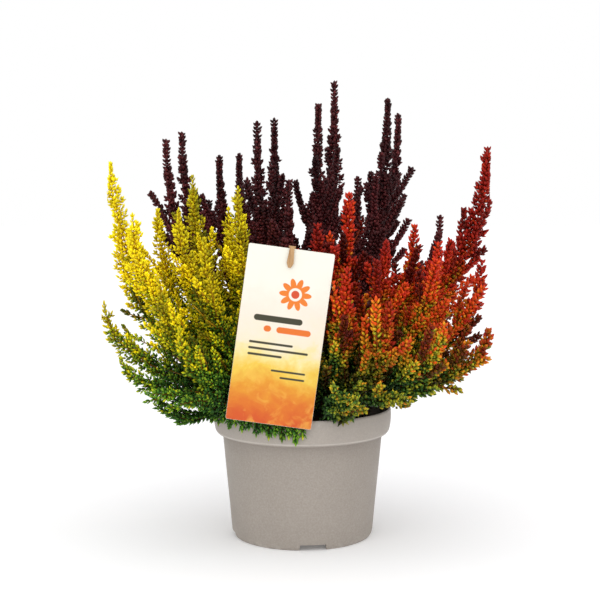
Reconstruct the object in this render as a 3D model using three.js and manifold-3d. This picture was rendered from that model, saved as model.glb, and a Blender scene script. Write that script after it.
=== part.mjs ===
// A trio of bud heathers, yellow, dark red and flame red, grown together in one
// round nursery pot, with a plain hang card on a flat stake. Millimetres, +Z up,
// the pot's axis on Z, its foot ring on Z = 0 and the front towards -Y.
import * as THREE from "three";
import { mergeVertices } from "three/addons/utils/BufferGeometryUtils.js";
import Module from "manifold-3d";

const wasm = await Module();
wasm.setup();

// Driving dimensions of the pot and what lies in it.
const POT_HEIGHT = 87.5;
const RIM_RADIUS = 60;
const RIM_DROP = 17.9;
const BODY_TOP_RADIUS = 53.8;
const FOOT_RADIUS = 47.2;
const WALL = 1.5;
const FOOT_RECESS = 4.2;
const FLOOR_TOP = 6;
const POT_SIDES = 36;
const NOTCH = { width: 18, height: 4, count: 4, turn: 8.5 };
const DRAIN = { radius: 3.2, ring: 24, count: 4, sides: 10 };
const CLEARANCE = 0.3;
const SOIL_TOP = 77;
const SOIL_SHOULDER = 68;
const SOIL_SIDES = 32;
const FOOT_DEPTH = 12;
const FOOT_HOLE_RADIUS = 2.1;

// Driving dimensions of the card and the stake that it hangs on.
const CARD = { width: 54.2, height: 111.3, thickness: 0.8, corner: 1.2, cornerSteps: 3 };
const CARD_TURN = 7.8;
const CARD_LEAN = 1.5;
const CARD_TOP = [-6.5, -61, 196.7];
const STAKE = { width: 4.4, thickness: 1.2, length: 137, gap: 1.6, above: 0.25, lean: 9 };
const TONGUE = { length: 11.5, neckWidth: 2.9, widestAt: 8.6, tipWidth: 1.8 };

// Driving dimensions of the shoots. A shoot is a slim four-sided core with a pair of
// leaves or buds at each step, each pair at right angles to the last.
const CORE_RADIUS = 1.3;
const LEAF = { reach: 3.5, rise: 4.4, tipShare: 0.5, tipRings: 4 };
const STEP = 7.8;
const BARE_STEP = 12;
const TWIST = (10 * Math.PI) / 180;
const STEM = {
  footRing: 45,
  footBend: 0.85,
  fullLean: 75,
  crown: 70,
  lowOut: 0.36,
  lowUp: 0.28,
  leastUp: 34,
  highDown: 0.52,
  overRim: 14,
  bare: 0.14,
};
const SIDE = {
  neck: 3.4,
  out: 8.6,
  kneeUp: 6,
  spread: 0.22,
  longest: 38,
  shortest: 14,
  shorter: 0.62,
  taper: 0.5,
  top: 0.7,
  every: 2,
  widest: 125,
  deepest: 95,
};
const ROOM = { spacing: 4, bare: 1.6, leafy: 3.9 };

// The leafy stems of each plant: where each tip stands, across, to the back and up.
const PLANTS = {
  yellow: {
    color: 0xd8c21a,
    tips: [
      [-126.5, -8, 252],
      [-109, -36, 219],
      [-98, 12, 221],
      [-80, -28, 222],
      [-73, -2, 243],
      [-42, -20, 236],
      [-50, 12, 222],
      [-62, -50, 204],
      [-127, -42, 163],
      [-90, -62, 180],
      [-34, -44, 192],
      [-114, -62, 130],
      [-76, -74, 150],
      [-98, -70, 109],
      [-124, 8, 205],
      [-78, -88, 102],
      [-46, -60, 82],
    ],
  },
  dark: {
    color: 0x4a1a20,
    tips: [
      [-94.5, 38, 268],
      [-86, 66, 274],
      [-58, 44, 257],
      [-46, 84, 259],
      [-31, 26, 280],
      [-20, 66, 284],
      [-9, 4, 240],
      [11, 34, 292],
      [23, 72, 310.5],
      [38, 28, 242],
      [60, 52, 297],
      [70, 88, 288],
      [98, 56, 215],
      [-104, 62, 138],
      [-62, 92, 116],
      [-12, 98, 200],
      [-18, 98, 112],
      [34, 92, 148],
      [76, 82, 112],
    ],
  },
  red: {
    color: 0xb8401c,
    tips: [
      [124, 6, 262],
      [104, 28, 196],
      [117, -24, 188],
      [76, 12, 210],
      [31, -4, 232],
      [88, -28, 200],
      [54, -34, 202],
      [10, -26, 212],
      [118, -50, 146],
      [88, -66, 152],
      [54, -68, 164],
      [28, -60, 186],
      [85, -57, 110],
      [66, -84, 106],
      [33, -98, 110],
      [108, 16, 130],
    ],
  },
};

// A repeatable random draw between 0 and 1.
let seed = 7;
function random() {
  seed = (seed * 16807) % 2147483647;
  return seed / 2147483647;
}

function degrees(value) {
  return (value * Math.PI) / 180;
}

// A closed geometry as a solid that can be joined and cut.
function solidOf(geometry, matrix = new THREE.Matrix4()) {
  const bare = geometry.clone().applyMatrix4(matrix);
  bare.deleteAttribute("normal");
  bare.deleteAttribute("uv");
  const merged = mergeVertices(bare, 1e-4);
  return new wasm.Manifold(
    new wasm.Mesh({
      numProp: 3,
      vertProperties: new Float32Array(merged.attributes.position.array),
      triVerts: new Uint32Array(merged.index.array),
    }),
  );
}

function geometryOf(solid) {
  const mesh = solid.getMesh();
  const geometry = new THREE.BufferGeometry();
  geometry.setAttribute("position", new THREE.BufferAttribute(mesh.vertProperties, 3));
  geometry.setIndex(new THREE.BufferAttribute(mesh.triVerts, 1));
  geometry.computeVertexNormals();
  return geometry;
}

function named(name, geometry, color, roughness) {
  const material = new THREE.MeshStandardMaterial({ color, roughness, metalness: 0 });
  const mesh = new THREE.Mesh(geometry, material);
  mesh.name = name;
  return mesh;
}

function turned(profile, sides) {
  const points = profile.map(([radius, height]) => new THREE.Vector2(radius, height));
  return new THREE.LatheGeometry(points, sides).rotateX(Math.PI / 2);
}

// The outer radius of the pot's tapered body at a height.
function bodyRadius(height) {
  const top = POT_HEIGHT - RIM_DROP;
  return FOOT_RADIUS + ((BODY_TOP_RADIUS - FOOT_RADIUS) * height) / top;
}

function pot() {
  const rimFoot = POT_HEIGHT - RIM_DROP;
  const profile = [
    [0, FOOT_RECESS],
    [FOOT_RADIUS - 4.4, FOOT_RECESS],
    [FOOT_RADIUS - 4, 0],
    [FOOT_RADIUS - 1.2, 0],
    [FOOT_RADIUS, 2],
    [bodyRadius(rimFoot), rimFoot],
    [RIM_RADIUS - 4.8, rimFoot],
    [RIM_RADIUS - 2.8, rimFoot + 0.8],
    [RIM_RADIUS - 1.3, rimFoot + 2.7],
    [RIM_RADIUS - 0.4, rimFoot + 6.4],
    [RIM_RADIUS, rimFoot + 12.4],
    [RIM_RADIUS - 0.2, POT_HEIGHT - 1],
    [RIM_RADIUS - 1, POT_HEIGHT],
    [RIM_RADIUS - 2.2, POT_HEIGHT - 0.7],
    [RIM_RADIUS - 3.2, rimFoot + 9],
    [bodyRadius(rimFoot) - WALL, rimFoot - 1],
    [bodyRadius(FLOOR_TOP) - WALL, FLOOR_TOP + 1],
    [bodyRadius(FLOOR_TOP) - WALL - 1.4, FLOOR_TOP],
    [0, FLOOR_TOP],
  ];
  let solid = solidOf(turned(profile, POT_SIDES));
  for (let i = 0; i < NOTCH.count; i += 1) {
    const angle = degrees(NOTCH.turn + (360 * i) / NOTCH.count);
    const notch = new THREE.BoxGeometry(NOTCH.width, 20, 2 * NOTCH.height);
    const place = new THREE.Matrix4()
      .makeRotationZ(angle)
      .multiply(new THREE.Matrix4().makeTranslation(0, -FOOT_RADIUS, 0));
    solid = solid.subtract(solidOf(notch, place));
  }
  for (let i = 0; i < DRAIN.count; i += 1) {
    const angle = (2 * Math.PI * i) / DRAIN.count;
    const drain = new THREE.CylinderGeometry(DRAIN.radius, DRAIN.radius, 10, DRAIN.sides)
      .rotateX(Math.PI / 2)
      .translate(DRAIN.ring * Math.cos(angle), DRAIN.ring * Math.sin(angle), FLOOR_TOP - 1);
    solid = solid.subtract(solidOf(drain));
  }
  return geometryOf(solid);
}

function soil(stems, stakeHole) {
  const wallAt = (height) => bodyRadius(height) - WALL - 2 * CLEARANCE;
  const profile = [
    [0, FLOOR_TOP + CLEARANCE],
    [wallAt(FLOOR_TOP) - 1.6, FLOOR_TOP + CLEARANCE],
    [wallAt(FLOOR_TOP), FLOOR_TOP + 2],
    [wallAt(SOIL_SHOULDER), SOIL_SHOULDER],
    [wallAt(SOIL_SHOULDER) + 1.2, SOIL_TOP - 3],
    [wallAt(SOIL_SHOULDER) - 2, SOIL_TOP],
    [0, SOIL_TOP],
  ];
  let solid = solidOf(turned(profile, SOIL_SIDES));
  for (const { foot, side } of stems) {
    const turn = Math.atan2(side.y, side.x);
    const depth = 2 * (FOOT_DEPTH + 1);
    const hole = new THREE.CylinderGeometry(FOOT_HOLE_RADIUS, FOOT_HOLE_RADIUS, depth, 4)
      .rotateX(Math.PI / 2)
      .rotateZ(turn)
      .translate(foot.x, foot.y, SOIL_TOP);
    solid = solid.subtract(solidOf(hole));
  }
  solid = solid.subtract(stakeHole);
  return geometryOf(solid);
}

// The frame at the middle of the card's top edge, turned in the card's own plane.
function cardFrame() {
  return new THREE.Matrix4()
    .makeTranslation(...CARD_TOP)
    .multiply(new THREE.Matrix4().makeRotationY(degrees(CARD_TURN)));
}

function card() {
  const { width, height, thickness, corner, cornerSteps } = CARD;
  const half = width / 2;
  const outline = new THREE.Shape();
  outline.moveTo(0, 0);
  outline.lineTo(half - corner, 0);
  outline.quadraticCurveTo(half, 0, half, -corner);
  outline.lineTo(half, -height + corner);
  outline.quadraticCurveTo(half, -height, half - corner, -height);
  outline.lineTo(-half + corner, -height);
  outline.quadraticCurveTo(-half, -height, -half, -height + corner);
  outline.lineTo(-half, -corner);
  outline.quadraticCurveTo(-half, 0, -half + corner, 0);
  return new THREE.ExtrudeGeometry(outline, {
    depth: thickness,
    bevelEnabled: false,
    curveSegments: cornerSteps,
  })
    .translate(0, 0, -thickness / 2)
    .rotateX(Math.PI / 2 - degrees(CARD_LEAN));
}

// The stake's side view: up behind the card, over its top edge, and down in front of it.
function stakeOutline(grow) {
  const { thickness, length, gap, above } = STAKE;
  const inner = gap / 2 - grow;
  const outer = gap / 2 + thickness + grow;
  const top = above + thickness;
  const bend = 0.8;
  const forward = TONGUE.length * Math.tan(degrees(CARD_LEAN + STAKE.lean));
  const outline = new THREE.Shape();
  outline.moveTo(outer, -length);
  outline.lineTo(outer, top - bend);
  outline.lineTo(outer - bend, top);
  outline.lineTo(-outer + bend, top);
  outline.lineTo(-outer, top - bend);
  outline.lineTo(-outer - forward, -TONGUE.length);
  outline.lineTo(-inner - forward, -TONGUE.length);
  outline.lineTo(-inner, above);
  outline.lineTo(inner, above);
  outline.lineTo(inner, -length);
  return outline;
}

// What is cut off beside the tongue on the right: it widens from its neck, then tapers.
function tongueSide() {
  const beyond = STAKE.width;
  const shape = new THREE.Shape();
  shape.moveTo(TONGUE.neckWidth / 2, beyond);
  shape.lineTo(TONGUE.neckWidth / 2, 0);
  shape.lineTo(STAKE.width / 2, -TONGUE.widestAt);
  shape.lineTo(TONGUE.tipWidth / 2, -TONGUE.length);
  shape.lineTo(TONGUE.tipWidth / 2, -TONGUE.length - beyond);
  shape.lineTo(beyond, -TONGUE.length - beyond);
  shape.lineTo(beyond, beyond);
  return new THREE.ExtrudeGeometry(shape, { depth: 2 * beyond, bevelEnabled: false })
    .translate(0, 0, STAKE.gap / 4)
    .rotateX(Math.PI / 2)
    .rotateX(degrees(STAKE.lean));
}

function stake(grow = 0) {
  const width = STAKE.width + 2 * grow;
  const strip = new THREE.ExtrudeGeometry(stakeOutline(grow), {
    depth: width,
    bevelEnabled: false,
  })
    .translate(0, 0, -width / 2)
    .rotateX(Math.PI / 2)
    .rotateZ(Math.PI / 2)
    .rotateX(degrees(STAKE.lean));
  const right = solidOf(tongueSide());
  const left = right.mirror([1, 0, 0]);
  return geometryOf(solidOf(strip).subtract(right).subtract(left));
}

// The route of a main stem: out from its foot in the soil, then up to its tip.
function stemCurve(foot, tip) {
  const height = tip.z - foot.z;
  const out = new THREE.Vector3(tip.x - foot.x, tip.y - foot.y, 0);
  const low = foot.clone().addScaledVector(out, STEM.lowOut);
  low.z += Math.max(STEM.lowUp * height, STEM.leastUp);
  const high = tip.clone();
  high.z = Math.max(high.z - STEM.highDown * height, POT_HEIGHT + STEM.overRim);
  return new THREE.CubicBezierCurve3(foot, low, high, tip);
}

// Where the stem of a tip stands in the soil: the lower it leans, the nearer the rim.
function footOf(tip) {
  const reach = Math.hypot(tip.x, tip.y);
  const lean = Math.atan2(reach, tip.z - STEM.crown);
  const share = Math.min(1, (lean / degrees(STEM.fullLean)) ** STEM.footBend);
  const radius = STEM.footRing * share;
  return new THREE.Vector3((tip.x * radius) / reach, (tip.y * radius) / reach, SOIL_TOP);
}

// The rings' centres along a curve: far apart on bare wood, then one for each pair of leaves.
function ringsAlong(curve, bareLength) {
  const length = curve.getLength();
  const bareSteps = Math.ceil(bareLength / BARE_STEP);
  const leafySteps = Math.max(3, Math.round((length - bareLength) / STEP));
  const rings = [];
  for (let i = 0; i < bareSteps; i += 1) {
    rings.push(curve.getPointAt((bareLength / length) * (i / bareSteps)));
  }
  for (let i = 0; i <= leafySteps; i += 1) {
    const share = (bareLength + (length - bareLength) * (i / leafySteps)) / length;
    rings.push(curve.getPointAt(Math.min(share, 1)));
  }
  return { rings, firstLeaf: bareSteps + 1 };
}

// Close-set points on a shoot's axis, with the room that it needs round each.
function roomAlong(curve, bareLength) {
  const length = curve.getLength();
  const count = Math.ceil(length / ROOM.spacing);
  return curve.getSpacedPoints(count).map((place, i) => ({
    place,
    radius: (length * i) / count < bareLength ? ROOM.bare : ROOM.leafy,
  }));
}

function makeShoot(curve, side, bareLength) {
  return {
    side,
    ...ringsAlong(curve, bareLength),
    room: roomAlong(curve, bareLength),
    shoots: [],
  };
}

function tangentAt(shoot, i) {
  const { rings } = shoot;
  const before = rings[Math.max(i - 1, 0)];
  const after = rings[Math.min(i + 1, rings.length - 1)];
  return after.clone().sub(before).normalize();
}

// The direction in which a ring's corner points away from the shoot's axis.
function cornerOut(shoot, ring, corner) {
  const front = tangentAt(shoot, ring).cross(shoot.side);
  const angle = ring * TWIST + (corner * Math.PI) / 2;
  return shoot.side
    .clone()
    .multiplyScalar(Math.cos(angle))
    .addScaledVector(front, Math.sin(angle));
}

// A side shoot leaves its stem at a leaf's place and bends up beside it.
function sideShoot(shoot, ring, corner, length) {
  const tangent = tangentAt(shoot, ring);
  const out = cornerOut(shoot, ring, corner);
  const start = shoot.rings[ring];
  const knee = start.clone().addScaledVector(out, SIDE.out);
  knee.addScaledVector(tangent, SIDE.kneeUp);
  const end = start.clone().addScaledVector(out, SIDE.out + SIDE.spread * length);
  end.addScaledVector(tangent, length);
  const curve = new THREE.QuadraticBezierCurve3(start, knee, end);
  const across = tangent.clone().cross(out).normalize();
  return { ring, corner, ...makeShoot(curve, across, SIDE.neck) };
}

function insideOutline(shoot) {
  const share = ({ place }) => Math.hypot(place.x / SIDE.widest, place.y / SIDE.deepest);
  return shoot.room.every((point) => share(point) < 1);
}

function clearOf(shoot, others, from) {
  return shoot.room.slice(from).every((a) =>
    others.every((b) => a.place.distanceTo(b.place) > a.radius + b.radius + CLEARANCE),
  );
}

// Side shoots up the lower part of a stem, shorter towards its tip, and only where no other
// shoot is in the way. One that doesn't fit is tried on the far side, and then shorter.
function branch(stem, stems) {
  const leafy = stem.rings.length - 1 - stem.firstLeaf;
  const others = stems.filter((other) => other !== stem);
  const taken = others.flatMap((other) => [...other.room, ...other.shoots.flatMap((s) => s.room)]);
  for (let step = 1; step < SIDE.top * leafy; step += SIDE.every) {
    const ring = stem.firstLeaf + step;
    const length = SIDE.longest * (1 - step / leafy) ** SIDE.taper * (0.75 + 0.4 * random());
    const first = (ring % 2) + (random() < 0.5 ? 0 : 2);
    const sides = [1, SIDE.shorter].flatMap((share) =>
      [first, (first + 2) % 4].map((corner) =>
        sideShoot(stem, ring, corner, Math.max(share * length, SIDE.shortest)),
      ),
    );
    const kin = stem.shoots.flatMap((s) => s.room);
    const fits = (side) =>
      insideOutline(side) && clearOf(side, taken, 1) && clearOf(side, kin, 2);
    const side = sides.find(fits);
    if (side) stem.shoots.push(side);
  }
}

// A closed surface of four-cornered rings. A leaf is a corner that stands out and up, and
// a side shoot grows from the four corners round a leaf's place.
class Surface {
  constructor() {
    this.points = [];
    this.faces = [];
    this.leaves = new Set();
  }

  add(place, isLeaf) {
    this.points.push(place.x, place.y, place.z);
    const index = this.points.length / 3 - 1;
    if (isLeaf) this.leaves.add(index);
    return index;
  }

  // A face with a missing corner is left open for the side shoot there.
  face(...corners) {
    if (corners.every((corner) => corner !== null)) this.faces.push(...corners);
  }

  // Each quad between two rings is split along the diagonal that has no leaf.
  bridge(lower, upper) {
    const standsOut = (corner) => corner === null || this.leaves.has(corner);
    for (let i = 0; i < 4; i += 1) {
      const next = (i + 1) % 4;
      const [a, b, c, d] = [lower[i], lower[next], upper[next], upper[i]];
      if (standsOut(a) || standsOut(c)) {
        this.face(a, b, d);
        this.face(b, c, d);
      } else {
        this.face(a, b, c);
        this.face(a, c, d);
      }
    }
  }

  geometry() {
    const geometry = new THREE.BufferGeometry();
    geometry.setAttribute("position", new THREE.Float32BufferAttribute(this.points, 3));
    geometry.setIndex(this.faces);
    geometry.computeVertexNormals();
    return geometry;
  }
}

// One ring of a shoot; the corner where a side shoot starts is left out.
function ringCorners(surface, shoot, ring) {
  const last = shoot.rings.length - 1;
  const center = shoot.rings[ring];
  const tangent = tangentAt(shoot, ring);
  const leafy = ring >= shoot.firstLeaf;
  const taper = Math.min(1, LEAF.tipShare + ((1 - LEAF.tipShare) * (last - ring)) / LEAF.tipRings);
  return [0, 1, 2, 3].map((corner) => {
    if (shoot.shoots.some((s) => s.ring === ring && s.corner === corner)) return null;
    const isLeaf = leafy && (corner + ring) % 2 === 0;
    const reach = isLeaf ? LEAF.reach * taper * (0.85 + 0.3 * random()) : CORE_RADIUS;
    const place = center.clone().addScaledVector(cornerOut(shoot, ring, corner), reach);
    if (isLeaf) place.addScaledVector(tangent, LEAF.rise);
    return surface.add(place, isLeaf);
  });
}

// All rings of a shoot up to its tip, and then its side shoots.
function clothe(surface, shoot, base, from) {
  const last = shoot.rings.length - 1;
  const loops = [];
  let lower = base;
  for (let ring = from; ring < last; ring += 1) {
    loops[ring] = ringCorners(surface, shoot, ring);
    surface.bridge(lower, loops[ring]);
    lower = loops[ring];
  }
  const tip = surface.add(shoot.rings[last], false);
  for (let i = 0; i < 4; i += 1) surface.face(lower[i], lower[(i + 1) % 4], tip);
  for (const side of shoot.shoots) {
    const { ring, corner } = side;
    const around = [
      loops[ring][(corner + 1) % 4],
      loops[ring + 1][corner],
      loops[ring][(corner + 3) % 4],
      loops[ring - 1][corner],
    ];
    clothe(surface, side, around, 1);
  }
}

function spray(stem) {
  const surface = new Surface();
  const end = stem.foot.clone();
  end.z -= FOOT_DEPTH;
  const front = new THREE.Vector3(0, 0, 1).cross(stem.side);
  const bottom = [0, 1, 2, 3].map((corner) => {
    const angle = (corner * Math.PI) / 2;
    const place = end.clone().addScaledVector(stem.side, CORE_RADIUS * Math.cos(angle));
    return surface.add(place.addScaledVector(front, CORE_RADIUS * Math.sin(angle)), false);
  });
  surface.face(bottom[0], bottom[2], bottom[1]);
  surface.face(bottom[0], bottom[3], bottom[2]);
  clothe(surface, stem, bottom, 0);
  return surface.geometry();
}

const stems = Object.entries(PLANTS).flatMap(([plant, { color, tips }]) =>
  tips.map((place, i) => {
    const tip = new THREE.Vector3(...place);
    const foot = footOf(tip);
    const side = new THREE.Vector3(0, 0, 1).cross(tip.clone().setZ(0)).normalize();
    const curve = stemCurve(foot, tip);
    const bareLength = STEM.bare * curve.getLength();
    const name = `${plant}_spray_${String(i + 1).padStart(2, "0")}`;
    return { name, color, foot, ...makeShoot(curve, side, bareLength) };
  }),
);
for (const stem of stems) branch(stem, stems);

const root = new THREE.Group();
root.add(named("pot", pot(), 0xa59c93, 0.55));
const frame = cardFrame();
const cardMesh = named("label_card", card(), 0xfdf3e0, 0.5);
cardMesh.applyMatrix4(frame);
root.add(cardMesh);
const stakeMesh = named("label_stake", stake(), 0xcfae84, 0.6);
stakeMesh.applyMatrix4(frame);
root.add(stakeMesh);
root.add(named("soil", soil(stems, solidOf(stake(CLEARANCE), frame)), 0x2b211b, 0.95));
for (const stem of stems) root.add(named(stem.name, spray(stem), stem.color, 0.7));

export default root;
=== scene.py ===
"""A potted trio of bud heathers, yellow, dark red and flame red, with a plain hang card.

The shoots follow the same rule as the solids, so each fine spray lies on its node. Lengths are
in millimetres until a mesh is made, +Z is up and the front faces -Y.
"""

import itertools
import math

import bpy
import numpy as np
from mathutils import Matrix, Vector


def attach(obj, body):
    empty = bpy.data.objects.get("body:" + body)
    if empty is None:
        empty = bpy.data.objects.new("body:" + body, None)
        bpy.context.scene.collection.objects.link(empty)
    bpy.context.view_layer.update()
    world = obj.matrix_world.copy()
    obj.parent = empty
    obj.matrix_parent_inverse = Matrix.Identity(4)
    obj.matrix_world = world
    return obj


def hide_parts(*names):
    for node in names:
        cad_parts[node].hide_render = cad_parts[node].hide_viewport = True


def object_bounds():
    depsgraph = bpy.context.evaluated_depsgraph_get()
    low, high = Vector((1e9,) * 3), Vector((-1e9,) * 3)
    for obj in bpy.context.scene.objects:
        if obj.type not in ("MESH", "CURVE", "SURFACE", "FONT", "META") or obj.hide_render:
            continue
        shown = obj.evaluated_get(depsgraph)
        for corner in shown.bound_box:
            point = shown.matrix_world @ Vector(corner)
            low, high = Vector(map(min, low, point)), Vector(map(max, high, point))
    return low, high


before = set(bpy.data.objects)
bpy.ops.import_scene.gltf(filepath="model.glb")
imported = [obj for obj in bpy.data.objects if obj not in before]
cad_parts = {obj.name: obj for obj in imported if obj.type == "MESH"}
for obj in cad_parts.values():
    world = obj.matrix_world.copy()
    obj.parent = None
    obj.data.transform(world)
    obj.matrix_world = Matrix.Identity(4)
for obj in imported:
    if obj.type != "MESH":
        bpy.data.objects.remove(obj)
CAD_LOW, CAD_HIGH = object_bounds()
MM = 0.001

# The pot, the soil, the card and the stake.
POT_HEIGHT = 87.5
RIM_RADIUS = 60.0
RIM_DROP = 17.9
BODY_TOP_RADIUS = 53.8
FOOT_RADIUS = 47.2
WALL = 1.5
FOOT_RECESS = 4.2
FLOOR_TOP = 6.0
NOTCH_WIDTH, NOTCH_HEIGHT, NOTCH_COUNT, NOTCH_TURN = 18.0, 4.0, 4, 8.5
DRAIN_RADIUS, DRAIN_RING, DRAIN_COUNT = 3.2, 24.0, 4
CLEARANCE = 0.3
SOIL_TOP = 77.0
FOOT_DEPTH = 12.0
CARD_WIDTH, CARD_HEIGHT, CARD_THICKNESS, CARD_CORNER = 54.2, 111.3, 0.8, 1.2
CARD_TURN, CARD_LEAN = 7.8, 1.5
CARD_TOP = (-6.5, -61.0, 196.7)
CARD_PLACE = (
    Matrix.Translation(CARD_TOP)
    @ Matrix.Rotation(math.radians(CARD_TURN), 4, "Y")
    @ Matrix.Rotation(math.radians(90 - CARD_LEAN), 4, "X")
)
CARD_AXES = np.array(CARD_PLACE.to_3x3())

# The shoots' rule, as in the solids.
STEP, BARE_STEP = 7.8, 12.0
TWIST = math.radians(10)
STEM = dict(
    foot_ring=45, foot_bend=0.85, full_lean=math.radians(75), crown=70, low_out=0.36,
    low_up=0.28, least_up=34, high_down=0.52, over_rim=14, bare=0.14,
)
SIDE = dict(
    neck=3.4, out=8.6, knee_up=6, spread=0.22, longest=38, shortest=14, shorter=0.62,
    taper=0.5, top=0.7, every=2, widest=125, deepest=95,
)
ROOM_SPACING, ROOM_BARE, ROOM_LEAFY = 4, 1.6, 3.9
TIPS = {
    "yellow": [
        (-126.5, -8, 252), (-109, -36, 219), (-98, 12, 221), (-80, -28, 222), (-73, -2, 243),
        (-42, -20, 236), (-50, 12, 222), (-62, -50, 204), (-127, -42, 163), (-90, -62, 180),
        (-34, -44, 192), (-114, -62, 130), (-76, -74, 150), (-98, -70, 109), (-124, 8, 205),
        (-78, -88, 102), (-46, -60, 82),
    ],
    "dark": [
        (-94.5, 38, 268), (-86, 66, 274), (-58, 44, 257), (-46, 84, 259), (-31, 26, 280),
        (-20, 66, 284), (-9, 4, 240), (11, 34, 292), (23, 72, 310.5), (38, 28, 242),
        (60, 52, 297), (70, 88, 288), (98, 56, 215), (-104, 62, 138), (-62, 92, 116),
        (-12, 98, 200), (-18, 98, 112), (34, 92, 148), (76, 82, 112),
    ],
    "red": [
        (124, 6, 262), (104, 28, 196), (117, -24, 188), (76, 12, 210), (31, -4, 232),
        (88, -28, 200), (54, -34, 202), (10, -26, 212), (118, -50, 146), (88, -66, 152),
        (54, -68, 164), (28, -60, 186), (85, -57, 110), (66, -84, 106), (33, -98, 110),
        (108, 16, 130),
    ],
}

# How each plant's fine growth looks: a bud's length and width, and the gap between pairs of
# buds; how far below a tip its twigs start and are full-grown, their least and full length
# and their gap; the blunt end's length, and the length and slant of the buds at its tip; how
# many short spikes and how long, and between which shares of a stem; how much older a twig's
# tip looks than its foot; and how long a side shoot's densely budded end is.
GROWTH = {
    "yellow": dict(
        bud=(3.9, 2.0), pair=1.7, twig_from=12, twig_full=70, twig=(4.5, 11.5), gap=2.9,
        blunt=(16, 0.7, 0.3), spikes=(6, 32), spike_share=(0.24, 0.64), lift=0.42, dense=9,
    ),
    "dark": dict(
        bud=(3.9, 3.0), pair=1.32, twig_from=20, twig_full=110, twig=(3.0, 10.0), gap=3.4,
        blunt=(6, 0.85, 0.72), spikes=(8, 46), spike_share=(0.3, 0.66), lift=0.24, dense=14,
    ),
    "red": dict(
        bud=(4.6, 2.7), pair=1.7, twig_from=8, twig_full=60, twig=(3.6, 9.8), gap=3.0,
        blunt=(8, 0.86, 0.55), spikes=(10, 36), spike_share=(0.2, 0.68), lift=0.4, dense=9,
    ),
}
# The kinds of shoot: where buds start, as a share of the bare foot, the densely budded end's
# length (None: the plant's own), factors on the twigs, and the share of them that is missing.
KINDS = {
    "stem": dict(start=0.55, dense=48, gap=1.0, twig_from=1.0, size=1.0, missing=0.08),
    "spike": dict(start=0.9, dense=30, gap=1.6, twig_from=0.8, size=0.62, missing=0.3),
    "side": dict(start=0.9, dense=None, gap=1.25, twig_from=0.45, size=0.62, missing=0.3),
}
TONE_HEIGHTS = {"yellow": (96, 236), "dark": (85, 250), "red": (92, 215)}
TONE_ENDS = (0.02, 0.97)
LOW_FRESH = {"yellow": 0.62, "dark": 0.0, "red": 0.5}  # how green the tips near the rim stay
FRESH_FROM, FRESH_RISE = 82, 55  # up to this height, and how slowly it ends
SPIKES_ABOVE = 140  # stems whose tips are lower carry no short spikes
SPIRAL = 0.035  # how far the pairs of buds turn on, in radians per millimetre
SLANT = 0.72  # the angle between a bud and its shoot, away from the tip
SHOOT_LEVELS = (0.1, 0.8)  # how dark and how light the small shoots are
# The leafy sprigs that hang over the rim: turn from the front in degrees, and height. Each
# leaves the stem that comes nearest to its own place at this reach and height.
SPRIG_REACH, SPRIG_BEND, SPRIG_KNEE = 62.6, 0.96, 103.0
SPRIG_FROM, SPRIG_FROM_HEIGHT = 46.0, 92.0
SPRIGS = {
    "yellow": [
        (-80, 86), (-74, 81), (-67, 84), (-61, 82), (-55, 85), (-49, 82), (-43, 84), (-38, 81),
        (-33, 83), (-28, 79), (-24, 82), (-20, 78), (-16, 80), (-12, 77), (-8, 79), (-4, 75), (0, 79),
    ],
    "red": [(15, 91), (19, 89), (24, 87), (29, 89), (34, 92)],
}
BARE_RIM = dict(turn=(36, 100), reach=44, height=96)  # where nothing hangs over the rim
# Leafy shoots by the card: where they leave a stem, knee and tip.
LOW_SPRIGS = {
    "yellow": [
        ((-52, -26, 96), (-76, -34, 80), (-98, -30, 99)),
        ((-52, -26, 96), (-74, -36, 76), (-95, -34, 93)),
        ((-52, -26, 96), (-66, -44, 80), (-86, -46, 90)),
        ((-52, -26, 96), (-64, -40, 84), (-80, -44, 84)),
    ],
    "red": [
        ((20, -10, 100), (30, -18, 118), (35, -22, 140)),
        ((18, -6, 92), (24, -18, 98), (27, -26, 110)),
    ],
}
TONES = 16  # steps of age and light in a plant's colours, from the shaded base to the tip
WOOD_FROM = 0.92  # above this, a place across the colours' map is wood
WOOD_BAND, WOOD_WIDTH = 0.95, 0.03
CARD_ROOM, CARD_BEHIND = 0.5, 1.0  # what stays clear of growth beside and behind the card
INSET = 0.05  # how far the fine growth stays inside the solids' box


# The shoots' axes


def seeded(seed):
    """Repeatable draws between 0 and 1, the same as in the solids."""
    while True:
        seed = (seed * 16807) % 2147483647
        yield seed / 2147483647


class Curve:
    """A Bezier curve with points at even steps along its length."""

    def __init__(self, *points):
        self.points = [np.array(p, float) for p in points]
        self.steps = np.linspace(0, 1, 201)
        gaps = np.linalg.norm(np.diff(self.at(self.steps), axis=0), axis=1)
        self.run = np.concatenate([[0.0], np.cumsum(gaps)])
        self.length = float(self.run[-1])

    def at(self, t):
        t = np.asarray(t, float)[:, None]
        n = len(self.points) - 1
        return sum(
            math.comb(n, i) * (1 - t) ** (n - i) * t**i * p for i, p in enumerate(self.points)
        )

    def along(self, shares):
        wanted = np.clip(shares, 0, 1) * self.length
        return self.at(np.interp(wanted, self.run, self.steps))


def unit(v):
    return v / np.linalg.norm(v, axis=-1, keepdims=True)


def make_shoot(curve, side, bare):
    length = curve.length
    bare_steps = math.ceil(bare / BARE_STEP)
    leafy_steps = max(3, math.floor((length - bare) / STEP + 0.5))
    shares = [(bare / length) * (i / bare_steps) for i in range(bare_steps)]
    shares += [(bare + (length - bare) * (i / leafy_steps)) / length for i in range(leafy_steps + 1)]
    count = math.ceil(length / ROOM_SPACING)
    run = length * np.arange(count + 1) / count
    return dict(
        curve=curve, side=side, bare=bare, shares=shares, rings=curve.along(shares), shoots=[],
        first_leaf=bare_steps + 1, room=curve.along(np.arange(count + 1) / count),
        radii=np.where(run < bare, ROOM_BARE, ROOM_LEAFY),
    )


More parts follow.
